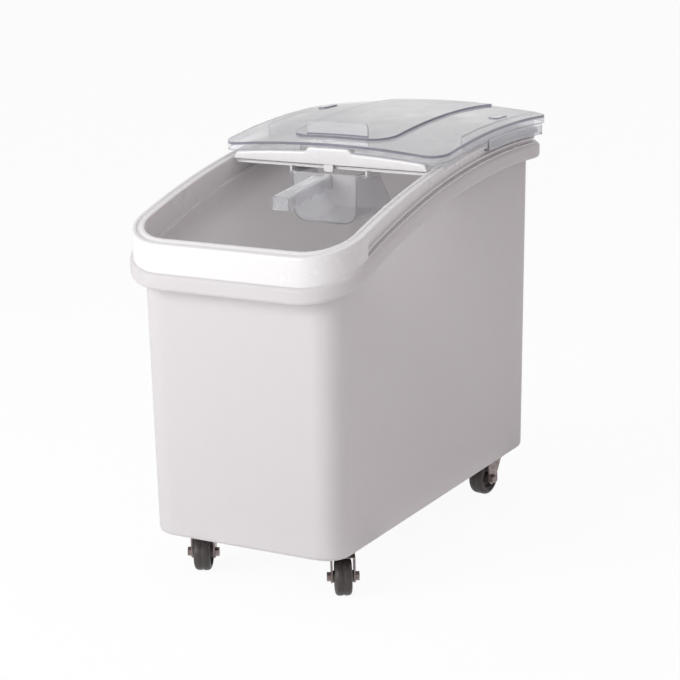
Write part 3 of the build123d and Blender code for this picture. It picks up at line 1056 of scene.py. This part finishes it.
@dataclass
class Studio:
    """A plain pale floor, a white surround and two soft lamps."""

    floor_size: float = 60.0
    floor_colour: Colour = (0.93, 0.93, 0.93)
    floor_glow: float = 0.93
    sky_light: float = 0.78
    zenith_share: float = 0.6
    white: Colour = (1.0, 1.0, 1.0)
    side_tint: Colour = (1.0, 0.86, 0.90)
    target: Point = (0.0, 0.0, 0.35)
    lamps: tuple[SoftLamp, ...] = (
        SoftLamp(name="key", place=(-1.3, -2.7, 1.5), side=1.8, power=72.0),
        SoftLamp(name="top", place=(0.3, 0.4, 2.6), side=1.6, power=5.0),
    )

    def floor(self) -> None:
        """Makes the floor with a glow for the camera, so that it reads as white and keeps shadows."""
        half = self.floor_size / 2
        mesh = bpy.data.meshes.new("floor")
        edge = [(-half, -half, 0.0), (half, -half, 0.0), (half, half, 0.0), (-half, half, 0.0)]
        mesh.from_pydata(edge, [], [(0, 1, 2, 3)])
        piece = bpy.data.objects.new("floor", mesh)
        bpy.context.scene.collection.objects.link(piece)
        tree = Tree.of_material("floor_paper")
        paper = tree.node("ShaderNodeBsdfDiffuse", None, {"Color": self.floor_colour})
        glow = tree.node("ShaderNodeEmission", None, {"Color": self.white, "Strength": 1.0})
        kinds = ("Is Camera Ray", "Is Glossy Ray", "Is Transmission Ray")
        camera, gloss, through = (self._ray(tree, kind) for kind in kinds)
        seen = (camera + gloss + through).ramp(0.0, 1.0)
        tree.show(tree.blend(seen * self.floor_glow, paper, glow))
        mesh.materials.append(tree.owner)
        LOG.info("made the floor")

    @staticmethod
    def _ray(tree: Tree, kind: str) -> Value:
        """1 where the light path is of a kind."""
        return Value(tree, tree.node("ShaderNodeLightPath").outputs[kind])

    def surround(self) -> None:
        """Sets a world that is seen as white and lights softly, less from above and warmer from the right."""
        world = bpy.data.worlds.new("surround")
        bpy.context.scene.world = world
        tree = Tree(world, "ShaderNodeOutputWorld")
        seen = self._ray(tree, "Is Camera Ray").or_more(self._ray(tree, "Is Transmission Ray"))
        way = tree.node("ShaderNodeTexCoord").outputs["Generated"]
        light = tree.component(way, Axis.Z).ramp(0.0, 1.0, self.sky_light, self.sky_light * self.zenith_share)
        from_right = (tree.component(way, Axis.X) - seen).ramp(0.0, 1.0)
        tree.show(tree.node("ShaderNodeBackground", None, {
            "Color": tree.mix(from_right, self.white, self.side_tint),
            "Strength": seen.ramp(0.0, 1.0, light, 1.0),
        }))
        LOG.info("made the surround")

    def build(self) -> None:
        """Makes the floor, the surround and the lamps."""
        self.floor()
        self.surround()
        for lamp in self.lamps:
            lamp.hang(self.target)
            LOG.info("hung the %s lamp", lamp.name)


@dataclass(frozen=True)
class PhotoCamera:
    """The photograph's camera, as a view direction in degrees, a distance and a focal length in pixels."""

    frame_pixels: float = 680.0
    focal_pixels: float = 2070.3
    azimuth: float = 29.12
    elevation: float = 14.29
    roll: float = -1.0
    distance: float = 3.3312
    aim_height: float = 0.3115
    slide_right: float = 0.0136
    slide_up: float = -0.0063
    sensor: float = 36.0

    def build(self) -> None:
        """Makes the camera and sets it as the scene's."""
        azimuth, elevation, roll = (math.radians(a) for a in (self.azimuth, self.elevation, self.roll))
        back = Vector((
            math.sin(azimuth) * math.cos(elevation),
            -math.cos(azimuth) * math.cos(elevation),
            math.sin(elevation),
        ))
        level = (-back).cross(Vector((0.0, 0.0, 1.0))).normalized()
        raised = level.cross(-back)
        right = math.cos(roll) * level + math.sin(roll) * raised
        up = math.cos(roll) * raised - math.sin(roll) * level
        aim = Vector((0.0, 0.0, self.aim_height))
        place = aim + back * self.distance - right * self.slide_right - up * self.slide_up
        data = bpy.data.cameras.new("photo_camera")
        data.sensor_width = self.sensor
        data.lens = self.focal_pixels * self.sensor / self.frame_pixels
        camera = bpy.data.objects.new("photo_camera", data)
        turn = Matrix((right, up, back)).transposed().to_4x4()
        camera.matrix_world = Matrix.Translation(place) @ turn
        bpy.context.scene.collection.objects.link(camera)
        bpy.context.scene.camera = camera
        LOG.info("camera ready")


def main() -> None:
    """Dresses the bin, lights it and sets the camera."""
    logging.basicConfig(level=logging.INFO)
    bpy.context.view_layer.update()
    finishes = FinishBook()
    PackedPieces(finishes).dress()
    TopFrame(finishes).build()
    CasterTyres(finishes).build()
    Studio().build()
    PhotoCamera().build()
    bpy.context.scene.view_settings.view_transform = "Standard"


if __name__ == "__main__":
    main()
